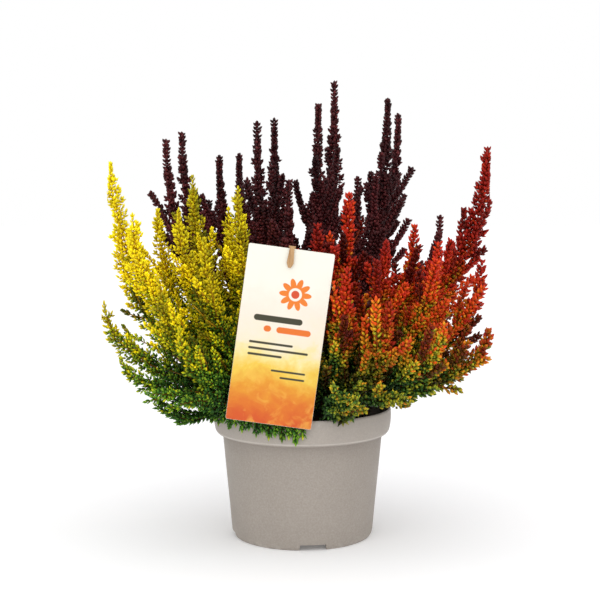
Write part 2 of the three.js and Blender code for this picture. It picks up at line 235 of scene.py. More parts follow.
def tangent_at(shoot, i):
    rings = shoot["rings"]
    return unit(rings[min(i + 1, len(rings) - 1)] - rings[max(i - 1, 0)])


def side_shoot(shoot, ring, corner, length):
    tangent = tangent_at(shoot, ring)
    front = np.cross(tangent, shoot["side"])
    angle = ring * TWIST + corner * math.pi / 2
    out = sideways(shoot, front, angle)
    start = shoot["rings"][ring]
    knee = start + out * SIDE["out"] + tangent * SIDE["knee_up"]
    end = start + out * (SIDE["out"] + SIDE["spread"] * length) + tangent * length
    made = make_shoot(Curve(start, knee, end), unit(np.cross(tangent, out)), SIDE["neck"])
    made["from"] = shoot["shares"][ring]
    return made


def sideways(shoot, front, angle):
    return shoot["side"] * math.cos(angle) + front * math.sin(angle)


def clear_of(shoot, others, start):
    if not others:
        return True
    place = np.concatenate([o["room"] for o in others])
    radii = np.concatenate([o["radii"] for o in others])
    gaps = np.linalg.norm(shoot["room"][start:, None] - place[None], axis=2)
    return bool((gaps > shoot["radii"][start:, None] + radii[None] + CLEARANCE).all())


def fits(side, stem, taken):
    """True if a side shoot stays in the outline and clear of the others."""
    spot = side["room"] / [SIDE["widest"], SIDE["deepest"], 1]
    inside = (np.hypot(spot[:, 0], spot[:, 1]) < 1).all()
    return inside and clear_of(side, taken, 1) and clear_of(side, stem["shoots"], 2)


def branch(stem, stems, draws):
    """Side shoots up a stem; one that doesn't fit is tried on the far side, then shorter."""
    leafy = len(stem["rings"]) - 1 - stem["first_leaf"]
    taken = [s for other in stems if other is not stem for s in [other, *other["shoots"]]]
    for step in range(1, math.ceil(SIDE["top"] * leafy), SIDE["every"]):
        ring = stem["first_leaf"] + step
        length = SIDE["longest"] * (1 - step / leafy) ** SIDE["taper"] * (0.75 + 0.4 * next(draws))
        first = ring % 2 + (0 if next(draws) < 0.5 else 2)
        for share, corner in itertools.product((1, SIDE["shorter"]), (first, (first + 2) % 4)):
            side = side_shoot(stem, ring, corner, max(share * length, SIDE["shortest"]))
            if fits(side, stem, taken):
                stem["shoots"].append(side)
                break


def make_stems():
    """Every stem, from its foot in the soil to its tip, with its side shoots."""
    stems = []
    for plant, tips in TIPS.items():
        for i, tip in enumerate(np.array(tips, float)):
            reach = math.hypot(tip[0], tip[1])
            lean = math.atan2(reach, tip[2] - STEM["crown"])
            radius = STEM["foot_ring"] * min(1, (lean / STEM["full_lean"]) ** STEM["foot_bend"])
            foot = np.array([*(tip[:2] * radius / reach), SOIL_TOP])
            height = tip[2] - foot[2]
            low = foot + (tip - foot) * [STEM["low_out"], STEM["low_out"], 0]
            low[2] += max(STEM["low_up"] * height, STEM["least_up"])
            high = tip.copy()
            high[2] = max(high[2] - STEM["high_down"] * height, POT_HEIGHT + STEM["over_rim"])
            curve = Curve(foot, low, high, tip)
            side = unit(np.cross([0, 0, 1], tip * [1, 1, 0]))
            stem = make_shoot(curve, side, STEM["bare"] * curve.length)
            stem.update(name=f"{plant}_spray_{i + 1:02d}", plant=plant, tip=tip, sprigs=[])
            stems.append(stem)
    draws = seeded(7)
    for stem in stems:
        branch(stem, stems, draws)
    return stems


def leave_nearest(stems, wanted, knee, end):
    """Gives a sprig to the stem that comes nearest to the wanted place."""
    lines = np.array([s["curve"].along(np.linspace(0, 1, 60)) for s in stems])
    gaps = np.linalg.norm(lines - wanted, axis=2)
    nearest, place = np.unravel_index(gaps.argmin(), gaps.shape)
    stems[nearest]["sprigs"].append((lines[nearest, place], knee, end))


def hang_sprigs(stems):
    """The sprigs over the rim, and the low shoots by the card."""
    for plant, hanging in SPRIGS.items():
        own_stems = [s for s in stems if s["plant"] == plant]
        for turn, height in hanging:
            out = np.array([math.sin(math.radians(turn)), -math.cos(math.radians(turn)), 0.0])
            wanted = SPRIG_FROM * out + [0, 0, SPRIG_FROM_HEIGHT]
            end = SPRIG_REACH * out
            knee = SPRIG_BEND * end + [0, 0, SPRIG_KNEE]
            leave_nearest(own_stems, wanted, knee, end + [0, 0, height])
        for route in np.array(LOW_SPRIGS[plant], float):
            leave_nearest(own_stems, *route)


# Fine growth


def link(name, data):
    made = bpy.data.objects.new(name, data)
    bpy.context.scene.collection.objects.link(made)
    return made


def free_place(points):
    """False for points inside the hang card or before its face, and low over the bare rim."""
    x, y, z = np.moveaxis((points - CARD_TOP) @ CARD_AXES, -1, 0)
    across = abs(x) < CARD_WIDTH / 2 + CARD_ROOM
    blocked = across & (y < CARD_ROOM) & (y > -CARD_HEIGHT - CARD_ROOM) & (z > -CARD_BEHIND)
    turn = np.degrees(np.arctan2(points[..., 0], -points[..., 1]))
    reach = np.hypot(points[..., 0], points[..., 1])
    low = (reach > BARE_RIM["reach"]) & (points[..., 2] < BARE_RIM["height"])
    return ~(blocked | (low & (turn > BARE_RIM["turn"][0]) & (turn < BARE_RIM["turn"][1])))


def stack_faces(sides, rows):
    """Faces of a closed body from its points: a start, rings of points and an end."""
    last = 1 + (rows - 1) * sides
    faces = []
    for i in range(sides):
        j = (i + 1) % sides
        faces.append((0, 1 + j, 1 + i))
        for ring in range(1, last, sides):
            faces.append((ring + i, ring + j, ring + sides + j, ring + sides + i))
        faces.append((last + i, last + j, last + sides))
    return faces


def stack_triangles(sides, rows):
    """The same faces, with each four-sided one split in two."""
    split = []
    for first, *others in stack_faces(sides, rows):
        split += [(first, a, b) for a, b in zip(others, others[1:])]
    return np.array(split)


def template(sides, rings):
    """A closed pointed body along +Z from 0 to 1: its points and triangles."""
    angles = [2 * math.pi * (i + 0.5) / sides for i in range(sides)]
    points = [(r * math.cos(a), r * math.sin(a), height) for height, r in rings for a in angles]
    return np.array([(0.0, 0.0, 0.0), *points, (0.0, 0.0, 1.0)]), stack_triangles(sides, len(rings))


PLUMP = template(4, [(0.3, 0.92), (0.68, 0.8)])
SLIM = template(4, [(0.42, 1.0)])


class Growth:
    """The buds, leaves and twigs of one spray, gathered into one mesh."""

    def __init__(self, look, rng):
        self.look, self.rng = look, rng
        self.points, self.faces, self.maps = [], [], []
        self.count = 0
        self.level = 0.5  # how light the shoot is

    def add(self, points, faces, maps):
        self.points.append(points.reshape(-1, 3))
        self.faces.append(faces.reshape(-1, 3) + self.count)
        self.maps.append(maps.reshape(-1, 2))
        self.count += len(self.points[-1])

    def buds(self, base, way, out, length, width, tone, shape):
        """One bud at each base, pointing its way; tone picks its colour's step."""
        body, faces = shape
        across = unit(np.cross(way, out))
        up = np.cross(across, way)
        half = 0.5 * width[:, None, None]
        points = (
            base[:, None]
            + length[:, None, None] * body[:, 2:3] * way[:, None]
            + half * (body[:, 0:1] * across[:, None] + 0.85 * body[:, 1:2] * up[:, None])
        )
        cell = np.clip(np.floor(tone * TONES), 0, TONES - 1)
        tint = np.clip(self.level + self.rng.uniform(-0.07, 0.07, len(base)), 0.04, 0.86)
        u = (cell[:, None] + 0.1 + 0.8 * body[:, 2]) / TONES
        v = tint[:, None] + 0.02 * body[:, 0]
        free = free_place(points).all(axis=1)
        starts = len(body) * np.arange(free.sum())
        maps = np.stack([u, v], axis=-1)[free]
        self.add(points[free], faces[None] + starts[:, None, None], maps)

    def end_bud(self, base, way, side, length, width, tone, shape):
        one = np.ones(1)
        self.buds(base[None], way[None], side[None], length * one, width * one, tone * one, shape)

    def twig(self, places, radii, side, sides, tone):
        """A closed tapering rod through the places, ending in a point."""
        if not free_place(places).all():
            return
        ways = unit(np.gradient(places, axis=0))
        fronts = unit(np.cross(ways, side))
        acrosses = np.cross(fronts, ways)
        angles = 2 * np.pi * np.arange(sides) / sides
        across, up = np.cos(angles)[:, None], np.sin(angles)[:, None]
        ring = across * acrosses[:-1, None] + up * fronts[:-1, None]
        body = places[:-1, None] + radii[:-1, None, None] * ring
        points = np.concatenate([places[:1], body.reshape(-1, 3), places[-1:]])
        rows = len(places) - 1
        u = np.concatenate([tone[:1], np.repeat(tone[:-1], sides), tone[-1:]])
        v = np.tile(WOOD_BAND + WOOD_WIDTH * np.arange(sides) / sides, rows)
        v = np.concatenate([[WOOD_BAND], v, [WOOD_BAND + 0.02]])
        maps = np.stack([np.clip(u, 0.03, 0.97), v], axis=-1)
        self.add(points, stack_triangles(sides, rows), maps)

    def mesh(self, name):
        low, high = np.array(CAD_LOW) / MM + INSET, np.array(CAD_HIGH) / MM - INSET
        points, faces = np.clip(np.concatenate(self.points), low, high), np.concatenate(self.faces)
        made = mesh_from(name, points * MM, faces, smooth=True)
        places = np.concatenate(self.maps)[faces.ravel()].astype(np.float32).ravel()
        for title in ("tone", "OFBake"):
            made.data.uv_layers.new(name=title).data.foreach_set("uv", places)
        return made


def mesh_from(name, points, faces, smooth=False):
    """An object with a closed mesh, from points in metres."""
    mesh = bpy.data.meshes.new(name)
    mesh.from_pydata(points, [], faces, shade_flat=not smooth)
    mesh.validate()
    return link(name, mesh)


def axis_at(shoot, run):
    """Places, ways and fronts along a shoot, at these distances from its start."""
    curve = shoot["curve"]
    share = np.asarray(run) / curve.length
    step = 0.5 / curve.length
    place = curve.along(share)
    way = unit(curve.along(np.minimum(share + step, 1)) - curve.along(np.maximum(share - step, 0)))
    return place, way, np.cross(way, shoot["side"])


def frame_at(shoot, at):
    return [values[0] for values in axis_at(shoot, [at])]


def clothe(growth, shoot, run, tone, reach, thick, shape, rise):
    """Pairs of buds at right angles up a shoot. rise is the angle to the shoot's own way."""
    if len(run) == 0:
        return
    bud, rng = growth.look["bud"], growth.rng
    place, way, front = axis_at(shoot, run)
    turn = (np.arange(len(run)) % 2) * math.pi / 2 + run * SPIRAL + rng.normal(0, 0.13, len(run))
    for flip in (0, math.pi):
        angle = (turn + flip)[:, None]
        out = shoot["side"] * np.cos(angle) + front * np.sin(angle)
        tilt = (rise + rng.normal(0, 0.1, len(run)))[:, None]
        aim = unit(way * np.cos(tilt) + out * np.sin(tilt))
        length = bud[0] * reach * rng.uniform(0.82, 1.12, len(run))
        width = bud[1] * thick * rng.uniform(0.88, 1.12, len(run))
        own = tone + rng.normal(0, 0.045, len(run))
        growth.buds(place + out * 0.35, aim, out, length, width, own, shape)


def little_shoot(start, way, out, length, lean):
    """A short twig that leaves its stem at an angle and bends up along it."""
    knee = start + unit(out * math.sin(lean * 1.25) + way * math.cos(lean * 1.25)) * length * 0.5
    end = start + unit(out * math.sin(lean) + way * math.cos(lean)) * length
    return dict(curve=Curve(start, knee, end), side=unit(np.cross(way, out)))


def smooth_step(x):
    x = np.clip(x, 0, 1)
    return x * x * (3 - 2 * x)


def twig_with_buds(growth, shoot, tone, lift):
    length, look = shoot["curve"].length, growth.look
    bud, pair = look["bud"], look["pair"] * 0.95
    place, way, _ = axis_at(shoot, [0, length * 0.55, length])
    growth.twig(place, np.array([0.42, 0.3, 0.1]), shoot["side"], 3, np.full(3, tone))
    overlap = bud[0] * 0.45
    run = np.arange(pair * 0.8, length - overlap, pair)
    share = run / length
    tones = tone + lift * (share - 0.45)
    clothe(growth, shoot, run, tones, 0.95, 1.05, SLIM, 0.74 - 0.2 * share)
    tip = place[-1] - way[-1] * overlap
    growth.end_bud(tip, way[-1], shoot["side"], *bud, tone + 0.65 * lift, PLUMP)


def add_twigs(growth, shoot, tone_of, habit, start):
    """The short twigs of a shoot, in pairs at right angles, longer further down."""
    look, rng, length = growth.look, growth.rng, shoot["curve"].length
    first, full = look["twig_from"], look["twig_full"]
    least, most = look["twig"]
    gap = look["gap"] * habit["gap"]
    for i, at in enumerate(np.arange(start + gap, length - first * habit["twig_from"], gap)):
        share = smooth_step((length - at - first * 0.5) / (full - first))
        size = (least + (most - least) * share) * habit["size"]
        size *= 0.6 + 0.4 * smooth_step((at - start) / (0.3 * length))
        centre, along, front = frame_at(shoot, at)
        turn = (i % 2) * math.pi / 2 + i * 0.12 + rng.normal(0, 0.2)
        for flip in (0, math.pi):
            if rng.random() < habit["missing"]:
                continue
            own = size * rng.uniform(0.7, 1.25)
            out = sideways(shoot, front, turn + flip)
            small = little_shoot(centre, along, out, own, rng.uniform(0.62, 0.9))
            tone = float(tone_of([at])[0]) + rng.normal(0, 0.05)
            lit = smooth_step((centre[2] - POT_HEIGHT - 0.5) / 60)
            lift = look["lift"] * (0.5 + 0.5 * share) * (0.45 + 0.55 * lit)
            here = growth.level
            growth.level = here + rng.uniform(-0.1, 0.1)
            twig_with_buds(growth, small, tone, lift)
            growth.level = here


def dress(growth, shoot, tone_of, kind):
    """Buds and short twigs up one shoot, which is one of KINDS."""
    look, habit, length = growth.look, KINDS[kind], shoot["curve"].length
    bud = look["bud"]
    start = shoot["bare"] * habit["start"]
    run = np.arange(start, length - bud[0] * 0.6, look["pair"])
    left = length - run
    taper, tip_reach, tip_slant = look["blunt"]
    near_tip = smooth_step(left / taper)
    reach = tip_reach + (1 - tip_reach) * near_tip
    slant = tip_slant + (SLANT - tip_slant) * near_tip
    thick = 0.8 + 0.2 * near_tip
    tone = tone_of(run)
    top = left < (habit["dense"] or look["dense"])
    clothe(growth, shoot, run[top], tone[top], reach[top], thick[top], PLUMP, slant[top])
    low = np.flatnonzero(~top)[::2]
    clothe(growth, shoot, run[low], tone[low], 0.9, 0.9, SLIM, slant[low] + 0.1)
    place, way, _ = frame_at(shoot, length)
    reach = bud[0] * 0.9
    growth.end_bud(place - way * reach, way, shoot["side"], reach, bud[1], tone_of([length]), PLUMP)
    add_twigs(growth, shoot, tone_of, habit, start)


def tone_rule(plant):
    """Where a place on a shoot lies in its colours: by its height, lower being greener and darker,
    partly its own colour and partly painted shade, and by its share of the way up, its age.
    """
    low, high = TONE_HEIGHTS[plant]

    def tone_at(shoot, run, share):
        height = shoot["curve"].along(np.asarray(run) / shoot["curve"].length)[:, 2]
        lit = smooth_step((height - low) / (high - low))
        fresh = LOW_FRESH[plant] * (1 - smooth_step((height - FRESH_FROM) / FRESH_RISE))
        age = smooth_step((share - 0.12) / 0.75) * (1 - fresh)
        return 0.03 + 0.9 * (0.6 * lit + 0.4 * age)

    return tone_at


def thin_wood(growth, shoot, shares, tones, foot=0.7, taper=0.45):
    growth.twig(shoot["curve"].along(shares), foot - taper * shares, shoot["side"], 4, tones)


def main_stem(growth, stem, tone_at):
    length = stem["curve"].length

    def tone_of(run):
        return tone_at(stem, run, np.asarray(run) / length)

    shares = np.linspace(0, 1, max(8, int(length / 6)))
    axis = stem["curve"].along(shares)
    foot = axis[:1] - [0, 0, FOOT_DEPTH * 0.8]
    radii = np.concatenate([[1.25], 1.25 - 0.95 * shares**0.8])
    tones = np.concatenate([[0.02], tone_of(shares * length)])
    growth.twig(np.concatenate([foot, axis]), radii, stem["side"], 6, tones)
    growth.level = growth.rng.uniform(0.3, 0.75)
    dress(growth, stem, tone_of, "stem")


def side_growth(growth, side, tone_at):
    size = side["curve"].length
    stray = growth.rng.normal(0, 0.08)
    growth.level = growth.rng.uniform(*SHOOT_LEVELS)

    def tone_of(run):
        share = side["from"] + (1 - side["from"]) * 0.7 * np.asarray(run) / size
        return np.clip(tone_at(side, run, share) + stray, *TONE_ENDS)

    shares = np.linspace(0, 1, max(5, int(size / 5)))
    thin_wood(growth, side, shares, tone_of(shares * size))
    dress(growth, side, tone_of, "side")


def spike_growth(growth, stem, tone_at, k):
    look, rng = growth.look, growth.rng
    count, size = look["spikes"]
    first, last = look["spike_share"]
    share = first + (last - first) * (k + rng.random()) / count
    place, way, front = frame_at(stem, share * stem["curve"].length)
    out = sideways(stem, front, 2.4 * k + rng.uniform(0, 0.8))
    own = size * rng.uniform(0.75, 1.2)
    spike = little_shoot(place, unit(way + [0, 0, 0.5]), out, own, rng.uniform(0.3, 0.5))
    spike["bare"] = 4.0
    growth.level = rng.uniform(*SHOOT_LEVELS)

    def tone_of(run):
        return np.clip(tone_at(spike, run, share + 0.45 * np.asarray(run) / own), *TONE_ENDS)

    shares = np.linspace(0, 1, 7)
    thin_wood(growth, spike, shares, tone_of(shares * own))
    dress(growth, spike, tone_of, "spike")


def sprig_growth(growth, start, knee, end):
    """A leafy sprig that leaves the low growth, in two layers of needle leaves."""
    sprig = dict(curve=Curve(start, knee, end), side=unit(np.cross(end - start, [0.0, 0.0, 1.0])))
    size = sprig["curve"].length

    def tone_of(run):
        return 0.08 + 0.004 * run

    shares = np.linspace(0, 1, 7)
    thin_wood(growth, sprig, shares, tone_of(shares), 0.6, 0.3)
    growth.level = growth.rng.uniform(0.3, 0.8)
    for gap, reach, thick in ((1.5, 1.15, 1.15), (2.1, 0.8, 1.0)):
        run = np.arange(0.12 * size, size - 1.0, gap)
        clothe(growth, sprig, run, tone_of(run), reach, thick, SLIM, 0.95 - 0.35 * run / size)
    tip, before = sprig["curve"].along([1.0, 0.9])
    way = unit(tip - before)
    growth.end_bud(tip - way, way, sprig["side"], 4.6, 2.4, tone_of(size) + 0.1, SLIM)


def spray(stem, index):
    plant = stem["plant"]
    growth, tone_at = Growth(GROWTH[plant], np.random.default_rng(1000 + index)), tone_rule(plant)
    main_stem(growth, stem, tone_at)
    for side in stem["shoots"]:
        side_growth(growth, side, tone_at)
    if stem["tip"][2] >= SPIKES_ABOVE:
        for k in range(growth.look["spikes"][0]):
            spike_growth(growth, stem, tone_at, k)
    for route in stem["sprigs"]:
        sprig_growth(growth, *route)
    return growth.mesh(stem["name"] + "_fine")


# Material nodes


def linear(*rgb):
    """A colour given as sRGB from 0 to 255, as the shader wants it."""
    out = [c / 12.92 if c <= 0.04045 else ((c + 0.055) / 1.055) ** 2.4 for c in (v / 255 for v in rgb)]
    return (*out, 1.0)


class Paint:
    """A material's nodes by short names; at is a place on the object or on a map."""

    def __init__(self, name, roughness, specular, uv_map=None):
        self.material = bpy.data.materials.new(name)
        self.material.use_nodes = True
        self.tree = self.material.node_tree
        self.shader = self.tree.nodes["Principled BSDF"]
        self.rough(roughness)
        self.shader.inputs["Specular IOR Level"].default_value = specular
        if uv_map:
            self.at = self.node("ShaderNodeUVMap", uv_map=uv_map).outputs[0]
        else:
            self.at = self.node("ShaderNodeTexCoord").outputs["Object"]

    def node(self, kind, **options):
        made = self.tree.nodes.new(kind)
        for key, value in options.items():
            setattr(made, key, value)
        return made

    def put(self, value, socket):
        if isinstance(value, bpy.types.NodeSocket):
            self.tree.links.new(value, socket)
        else:
            socket.default_value = value

    def wired(self, kind, *values, **options):
        """A node with these values in its first inputs, as its first output."""
        made = self.node(kind, **options)
        for value, socket in zip(values, made.inputs):
            self.put(value, socket)
        return made.outputs[0]

    def math(self, operation, a, b=0.0, c=0.0):
        return self.wired("ShaderNodeMath", a, b, c, operation=operation)

    def times(self, a, b):
        return self.math("MULTIPLY", a, b)

    def minus(self, a, b):
        return self.math("SUBTRACT", a, b)

    def reach(self, x, y):
        """How far the point x, y lies from 0, 0."""
        return self.math("SQRT", self.math("ADD", self.times(x, x), self.times(y, y)))

    def stretched(self, *by):
        return self.wired("ShaderNodeVectorMath", self.at, by, operation="MULTIPLY")

    def mix(self, factor, a, b):
        made = self.node("ShaderNodeMix", data_type="RGBA")
        for place, value in {0: factor, 6: a, 7: b}.items():
            self.put(value, made.inputs[place])
        return made.outputs[2]

    def ramp(self, value, *stops):
        """A run of colours; a stop is its place and its sRGB colour from 0 to 255."""
        made = self.node("ShaderNodeValToRGB")
        elements = made.color_ramp.elements
        elements.remove(elements[1])
        elements[0].position = stops[0][0]
        elements[0].color = linear(*stops[0][1:])
        for place, *rgb in stops[1:]:
            elements.new(place).color = linear(*rgb)
        self.put(value, made.inputs[0])
        return made.outputs[0]

    def span(self, value, low, high, to_low=0.0, to_high=1.0):
        return self.wired("ShaderNodeMapRange", value, low, high, to_low, to_high)

    def filled(self, kind, **values):
        """A node with these values in the inputs of these names."""
        made = self.node(kind)
        for name, value in values.items():
            self.put(value, made.inputs[name])
        return made.outputs[0]

    def noise(self, scale, detail=2.0, roughness=0.5, distortion=0.0, at=None):
        values = dict(Scale=scale, Detail=detail, Roughness=roughness, Distortion=distortion)
        return self.filled("ShaderNodeTexNoise", Vector=at or self.at, **values)

    def split(self):
        made = self.node("ShaderNodeSeparateXYZ")
        self.put(self.at, made.inputs[0])
        return made.outputs

    def bump(self, height, strength, distance):
        values = dict(Height=height, Strength=strength, Distance=distance)
        self.put(self.filled("ShaderNodeBump", **values), self.shader.inputs["Normal"])

    def colour(self, value):
        self.base = value
        self.put(value, self.shader.inputs["Base Color"])

    def over(self, mask, *rgb):
        """Lays a colour over the material's own where the mask is 1."""
        self.colour(self.mix(mask, self.base, linear(*rgb)))

    def rough(self, value):
        self.put(value, self.shader.inputs["Roughness"])


# Each plant's growth from its shaded base to its tips, and its wood likewise; then roughness,
# the light of the darkest and the lightest shoots, the tint and share of the shaded ones, and
# how far the light ones' colour lags behind their age.
FOLIAGE = {
    "yellow": dict(
        stops=[
            (0.0, 22, 48, 20), (0.2, 54, 102, 34), (0.36, 114, 154, 36), (0.5, 200, 200, 24),
            (0.66, 248, 218, 8), (1.0, 250, 232, 28),
        ],
        wood=[(0.0, 60, 40, 22), (0.5, 176, 126, 30), (1.0, 240, 192, 30)],
        roughness=0.6, light=(0.34, 1.46), dusk=(60, 100, 26), dusk_share=0.75, lag=0.0,
    ),
    "dark": dict(
        stops=[
            (0.0, 24, 28, 18), (0.2, 70, 42, 40), (0.5, 118, 56, 56), (0.8, 92, 36, 38),
            (1.0, 48, 16, 19),
        ],
        wood=[(0.0, 44, 28, 22), (0.5, 50, 22, 24), (1.0, 56, 20, 26)],
        roughness=0.42, light=(0.45, 1.5), dusk=(40, 16, 20), dusk_share=0.0, lag=0.0,
    ),
    "red": dict(
        stops=[
            (0.0, 26, 48, 22), (0.2, 68, 106, 36), (0.36, 176, 172, 38), (0.48, 228, 148, 30),
            (0.6, 220, 80, 20), (0.78, 196, 46, 22), (1.0, 156, 28, 20),
        ],
        wood=[(0.0, 60, 36, 22), (0.5, 150, 76, 30), (1.0, 140, 30, 18)],
        roughness=0.42, light=(0.36, 1.3), dusk=(88, 24, 18), dusk_share=0.8, lag=0.2,
    ),
}


def foliage_paint(name, look):
    """Colours by age and light: a bud's step and height in it, and its own small tint."""
    p = Paint(name, look["roughness"], 0.16, "tone")
    x, y, _ = p.split()
    steps = p.times(x, TONES)
    step = p.math("DIVIDE", p.math("FLOOR", steps), TONES)
    within = p.math("FRACT", steps)
    own = p.math("FRACT", p.times(y, 23.7))
    up = p.math("MULTIPLY_ADD", within, 0.2, -0.1)
    stray = p.math("MULTIPLY_ADD", own, 0.2, -0.07)
    age = p.math("ADD", p.math("ADD", step, up), stray)
    age = p.minus(age, p.span(y, 0.5, 0.8, 0.0, look["lag"]))
    shaded = p.span(y, 0.38, 0.14, 0.0, look["dusk_share"])
    leaf = p.mix(shaded, p.ramp(age, *look["stops"]), linear(*look["dusk"]))
    other = p.math("FRACT", p.times(y, 57.3))
    light = p.math("MULTIPLY_ADD", other, 0.4, 0.86)
    # Painted shade: each bud is darker towards its foot, where the buds shade one another.
    light = p.times(light, p.span(within, 0.0, 0.75, 0.4, 1.0))
    light = p.times(light, p.span(y, 0.05, 0.7, *look["light"]))
    none = (0, 0, 0)
    lit = p.wired("ShaderNodeVectorMath", leaf, none, none, light, operation="SCALE")
    is_wood = p.math("GREATER_THAN", y, WOOD_FROM)
    p.colour(p.mix(is_wood, lit, p.ramp(x, *look["wood"])))
    return p.material


def adopt(piece, node):
    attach(piece, "root")
    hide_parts(node)


leaf_paints = {plant: foliage_paint(plant + "_growth", look) for plant, look in FOLIAGE.items()}
stems = make_stems()
hang_sprigs(stems)
for index, stem in enumerate(stems):
    piece = spray(stem, index)
    piece.data.materials.append(leaf_paints[stem["plant"]])
    adopt(piece, stem["name"])


# The pot


RIM_FOOT = POT_HEIGHT - RIM_DROP


def body_radius(height):
    return FOOT_RADIUS + (BODY_TOP_RADIUS - FOOT_RADIUS) * height / RIM_FOOT


def turned(name, profile, sides):
    """A closed solid turned round Z from (radius, height) points that start and end on it."""
    angles = [2 * math.pi * i / sides for i in range(sides)]
    rings = [(r * math.cos(a), r * math.sin(a), height) for r, height in profile[1:-1] for a in angles]
    points = [(0, 0, profile[0][1]), *rings, (0, 0, profile[-1][1])]
    return mesh_from(name, np.array(points) * MM, stack_faces(sides, len(profile) - 2))


def cut(target, cutter):
    """Takes one closed mesh out of another and removes the cutter."""
    modifier = target.modifiers.new("cut", "BOOLEAN")
    modifier.operation = "DIFFERENCE"
    modifier.solver = "EXACT"
    modifier.object = cutter
    depsgraph = bpy.context.evaluated_depsgraph_get()
    target.data = bpy.data.meshes.new_from_object(target.evaluated_get(depsgraph))
    target.modifiers.clear()
    bpy.data.objects.remove(cutter)


def prism(outline, low, high, matrix):
    """A closed prism of a plan outline between two heights, placed by a matrix."""
    n = len(outline)
    points = [matrix @ Vector((x, y, z)) * MM for z in (low, high) for x, y in outline]
    faces = [tuple(reversed(range(n))), tuple(range(n, 2 * n))]
    faces += [(i, (i + 1) % n, n + (i + 1) % n, n + i) for i in range(n)]
    return mesh_from("cutter", points, faces)


def round_profile(corners, steps=5):
    """An open profile of (across, up, rounding) corners, with the rounded ones as short arcs."""
    out = []
    for i, (x, y, radius) in enumerate(corners):
        if not radius:
            out.append((x, y))
            continue
        before, here, after = (Vector(corners[j][:2]) for j in (i - 1, i, i + 1))
        cut_back = min(radius, (before - here).length * 0.45, (after - here).length * 0.45)
        a = here + (before - here).normalized() * cut_back
        b = here + (after - here).normalized() * cut_back
        for k in range(steps + 1):
            t = k / steps
            p = a * (1 - t) ** 2 + here * 2 * t * (1 - t) + b * t * t
            out.append((p.x, p.y))
    return out


def pot_profile():
    """The pot's section, from under its floor round the rim to the top of its floor."""
    neck = body_radius(RIM_FOOT) - WALL
    inner = body_radius(FLOOR_TOP) - WALL
    foot = [
        (0, FOOT_RECESS, 0), (FOOT_RADIUS - 4.4, FOOT_RECESS, 0), (FOOT_RADIUS - 4, 0.0, 0.4),
        (FOOT_RADIUS - 1.2, 0.0, 1.0), (FOOT_RADIUS, 2.0, 1.4), (body_radius(3.6), 3.6, 0),
        (body_radius(4.0) + 0.12, 4.1, 0),
    ]
    body = [(body_radius(height), height, 0) for height in (20, 45)]
    body += [(body_radius(RIM_FOOT - 1), RIM_FOOT - 1, 0.5)]
    body += [(body_radius(RIM_FOOT) + 0.2, RIM_FOOT + 0.15, 0.6)]
    rim = [
        (4.9, 0.1, 0.7), (2.9, 0.7, 0.9), (1.4, 2.4, 1.3), (0.5, 6.4, 2.4), (0.05, 12.4, 3),
        (0.3, RIM_DROP - 1.1, 1.2), (1.1, RIM_DROP, 0.8), (2.2, RIM_DROP - 0.6, 0.8), (3.2, 9, 2),
    ]
    rim = [(RIM_RADIUS - inward, RIM_FOOT + up, rounding) for inward, up, rounding in rim]
    inside = [(neck, RIM_FOOT - 1, 2), (inner, FLOOR_TOP + 1, 0.6), (inner - 1.4, FLOOR_TOP, 0.6)]
    return foot + body + rim + inside + [(0, FLOOR_TOP, 0)]


def cut_around(target, outline, low, high, place, count, first=0):
    """Cuts a prism out of a body at even turns round Z, the first one in degrees."""
    for i in range(count):
        turn = Matrix.Rotation(math.radians(first + 360 * i / count), 4, "Z")
        cut(target, prism(outline, low, high, turn @ place))


def pot_body(drain_sides=28):
    pot = turned("pot_fine", round_profile(pot_profile()), 144)
    wide, narrow = NOTCH_WIDTH / 2 + 0.7, NOTCH_WIDTH / 2 - 0.5
    notch = [(-wide, -5), (wide, -5), (narrow, NOTCH_HEIGHT), (-narrow, NOTCH_HEIGHT)]
    upright = Matrix.Rotation(math.radians(90), 4, "X")
    outside = Matrix.Translation((0, -FOOT_RADIUS - 8, 0)) @ upright
    cut_around(pot, notch, -20, 0, outside, NOTCH_COUNT, NOTCH_TURN)
    ring = [2 * math.pi * k / drain_sides for k in range(drain_sides)]
    drain = [(DRAIN_RADIUS * math.cos(a), DRAIN_RADIUS * math.sin(a)) for a in ring]
    cut_around(pot, drain, -1, 9, Matrix.Translation((DRAIN_RING, 0, 0)), DRAIN_COUNT)
    pot.data.shade_smooth()
    pot.data.set_sharp_from_angle(angle=math.radians(32))
    return pot


